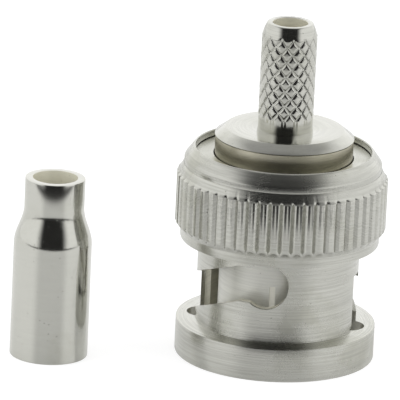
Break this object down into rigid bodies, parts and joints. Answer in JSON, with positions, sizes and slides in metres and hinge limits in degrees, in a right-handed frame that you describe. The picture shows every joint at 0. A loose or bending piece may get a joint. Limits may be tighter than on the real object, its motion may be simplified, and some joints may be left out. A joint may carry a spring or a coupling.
{
  "type": "bnc connector",
  "caption": "Bayonet-lock coaxial plug with knurled coupling nut, sprung and free to turn, a diamond-knurled crimp stem and a loose stepped crimp ferrule.",
  "frame": {"origin": "on the plug's axis at the coupling nut's front face, where the plug stands", "axes": "+Z along the plug's axis towards the cable end; -Y towards the viewer of the first lock hole; the ferrule stands on the -X side"},
  "size_m": [0.0253, 0.0144, 0.0236],
  "materials": {
    "nickel_plate": "nickel-plated brass, satin turned",
    "spring_steel": "rolled spring steel",
    "silicone": "matt silicone rubber",
    "ptfe": "white fluoroplastic, turned",
    "gold_plate": "gold plate, polished"
  },
  "bodies": {
    "plug_body": {"front_body": "nickel_plate", "outer_contact": "nickel_plate", "gasket": "silicone", "insulator": "ptfe", "center_pin": "gold_plate", "rear_body": "nickel_plate", "crimp_ferrule": "nickel_plate"},
    "spring_carrier": {"wave_spring": "spring_steel", "thrust_washer": "spring_steel"},
    "coupling": {"coupling_nut": "nickel_plate", "closing_washer": "nickel_plate"}
  },
  "joints": [
    {"name": "coupling_slide", "type": "slide", "parent": "plug_body", "child": "spring_carrier", "axis": [0, 0, -1], "range_m": [0, 0.0009], "stiffness_N_per_m": 8000, "springref_m": -0.0005, "deforming": ["wave_spring"]},
    {"name": "coupling_spin", "type": "hinge", "parent": "spring_carrier", "child": "coupling", "pos_m": [0, 0, 0], "axis": [0, 0, 1], "continuous": true}
  ]
}
